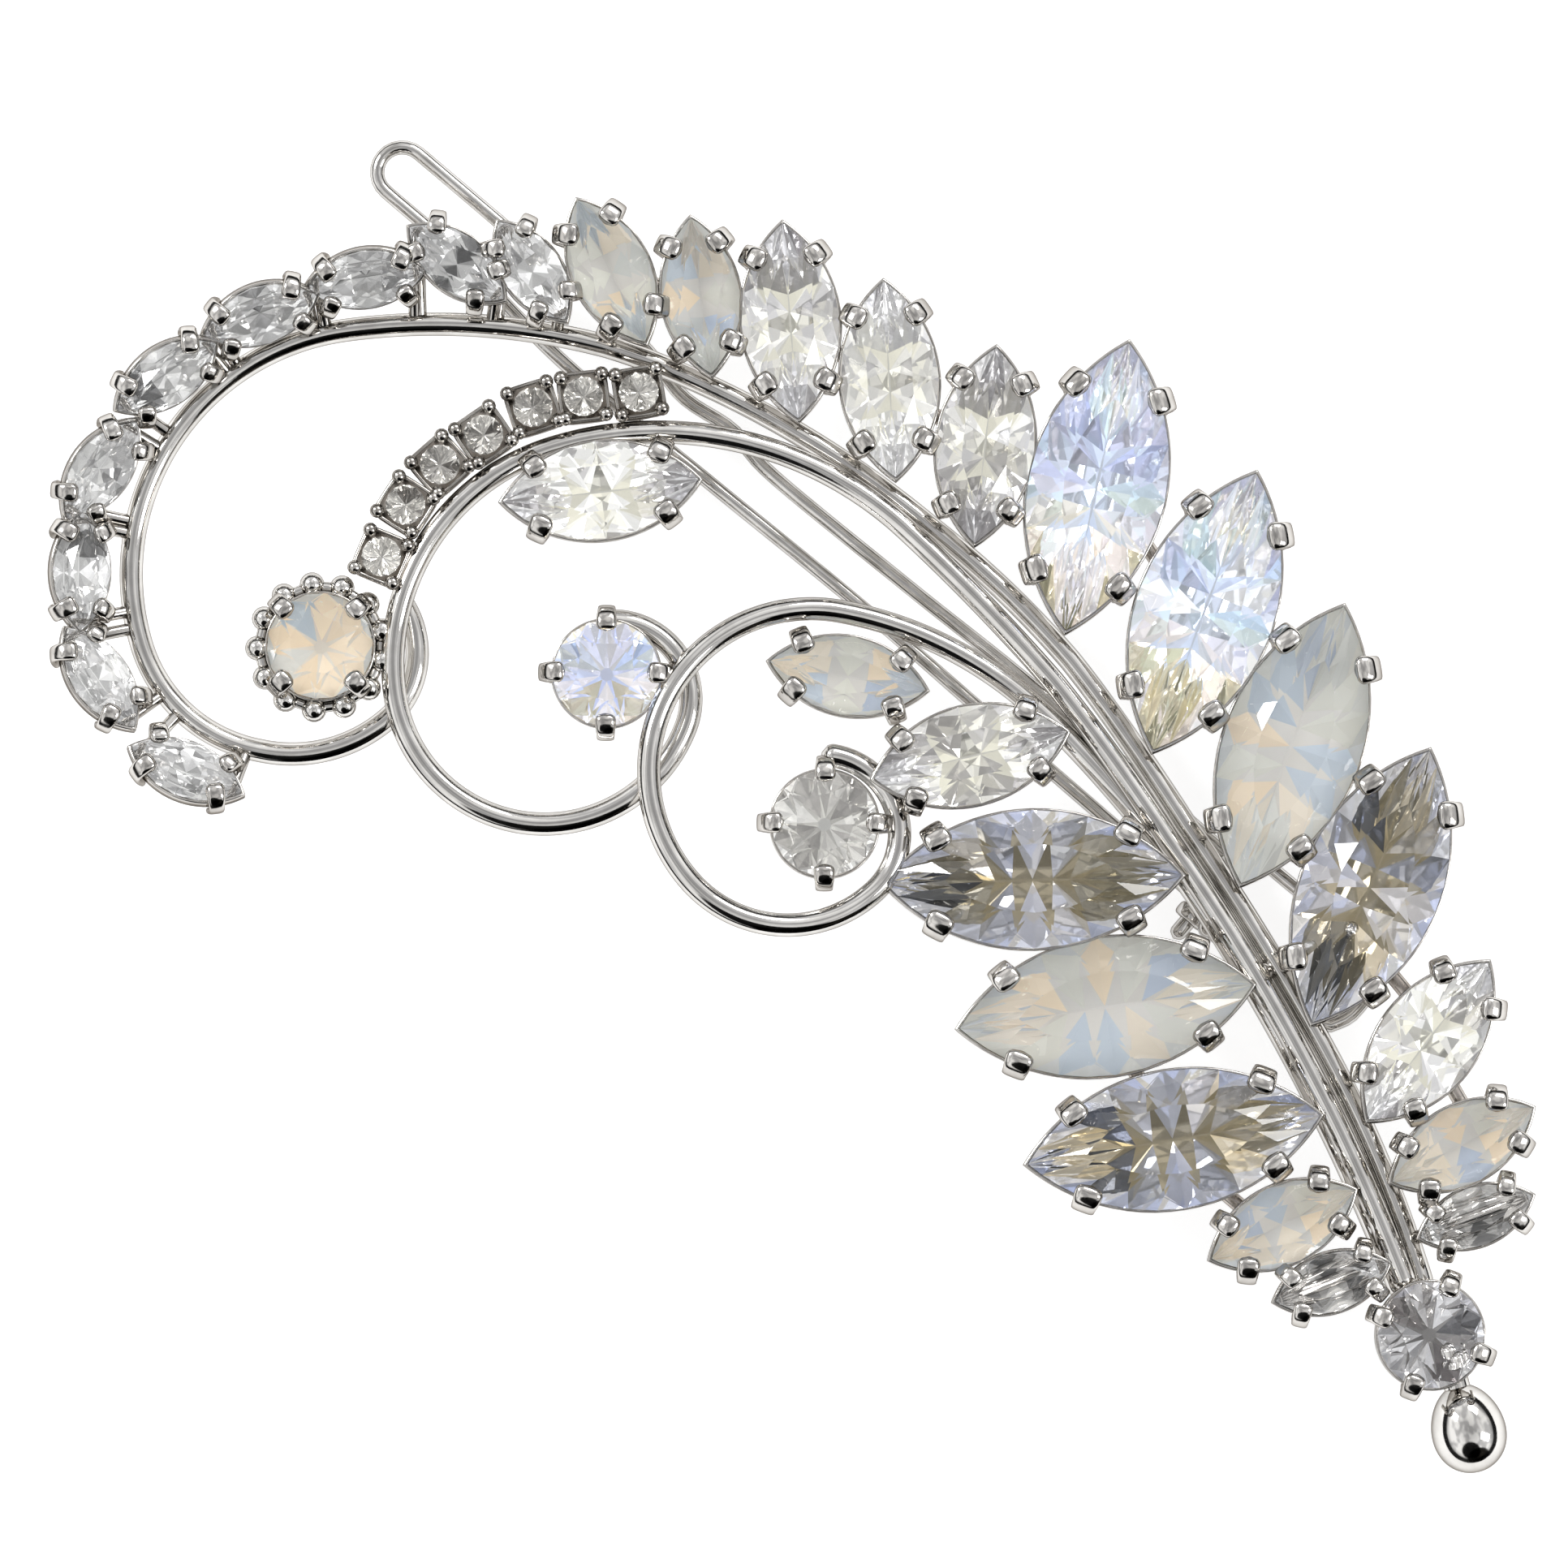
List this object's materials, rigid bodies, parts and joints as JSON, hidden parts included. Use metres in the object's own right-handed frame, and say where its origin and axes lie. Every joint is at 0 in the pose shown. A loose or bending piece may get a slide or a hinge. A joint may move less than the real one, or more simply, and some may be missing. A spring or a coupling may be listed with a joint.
{
  "type": "rhinestone hair clip",
  "caption": "Feather-shaped hair clip: three scrolled rods set with pointed-oval and round stones in claw settings, on a hinged spring-wire clip.",
  "frame": {"origin": "under the middle of the clip's box, on the plane it lies on", "axes": "+X along the clip wire towards the ball at the feather's tip, +Y across the feather towards its convex edge, +Z out of the faces of the stones"},
  "size_m": [0.0894, 0.0504, 0.0076],
  "materials": {
    "polished_plate": "rhodium-bright polished plating with light polishing marks and solder",
    "spring_wire": "bright drawn spring wire",
    "clear_crystal": "foiled clear cut crystal",
    "aurora_crystal": "foiled cut crystal with an iridescent coating",
    "opal_glass": "milky white opal cut glass"
  },
  "bodies": {
    "ornament": {"ball_end": "polished_plate", "beaded_rim": "polished_plate", "bridge_bars": "polished_plate", "clip_base": "spring_wire", "cup_chain_cups": "polished_plate", "cup_chain_stones": "clear_crystal", "hinge_pin": "spring_wire", "inner_round_setting": "polished_plate", "inner_round_stone": "clear_crystal", "inner_stem": "polished_plate", "lower_leaf_2_setting": "polished_plate", "lower_leaf_2_stone": "opal_glass", "lower_leaf_3_setting": "polished_plate", "lower_leaf_3_stone": "clear_crystal", "lower_leaf_4_setting": "polished_plate", "lower_leaf_4_stone": "opal_glass", "lower_leaf_5_setting": "polished_plate", "lower_leaf_5_stone": "clear_crystal", "lower_leaf_6_setting": "polished_plate", "lower_leaf_6_stone": "clear_crystal", "middle_round_setting": "polished_plate", "middle_round_stone": "aurora_crystal", "middle_stem": "polished_plate", "outer_round_setting": "polished_plate", "outer_round_stone": "opal_glass", "outer_stem": "polished_plate", "scroll_leaf_inner_setting": "polished_plate", "scroll_leaf_inner_stone": "opal_glass", "scroll_leaf_middle_setting": "polished_plate", "scroll_leaf_middle_stone": "clear_crystal", "small_leaf_setting": "polished_plate", "small_leaf_stone": "clear_crystal", "tip_round_setting": "polished_plate", "tip_round_stone": "clear_crystal", "upper_leaf_10_setting": "polished_plate", "upper_leaf_10_stone": "clear_crystal", "upper_leaf_11_setting": "polished_plate", "upper_leaf_11_stone": "opal_glass", "upper_leaf_12_setting": "polished_plate", "upper_leaf_12_stone": "opal_glass", "upper_leaf_2_setting": "polished_plate", "upper_leaf_2_stone": "opal_glass", "upper_leaf_3_setting": "polished_plate", "upper_leaf_3_stone": "clear_crystal", "upper_leaf_4_setting": "polished_plate", "upper_leaf_4_stone": "clear_crystal", "upper_leaf_5_setting": "polished_plate", "upper_leaf_5_stone": "opal_glass", "upper_leaf_6_setting": "polished_plate", "upper_leaf_6_stone": "aurora_crystal", "upper_leaf_7_setting": "polished_plate", "upper_leaf_7_stone": "aurora_crystal", "upper_leaf_8_setting": "polished_plate", "upper_leaf_8_stone": "clear_crystal", "upper_leaf_9_setting": "polished_plate", "upper_leaf_9_stone": "clear_crystal"},
    "arm": {"clip_arm": "spring_wire"}
  },
  "joints": [
    {"name": "arm_hinge", "type": "hinge", "parent": "ornament", "child": "arm", "pos_m": [0.0152, 0.00704, 0.0009], "axis": [0, -1, 0], "range_deg": [0, 60], "stiffness_Nm_per_rad": 0.002, "springref_deg": -34.38}
  ]
}
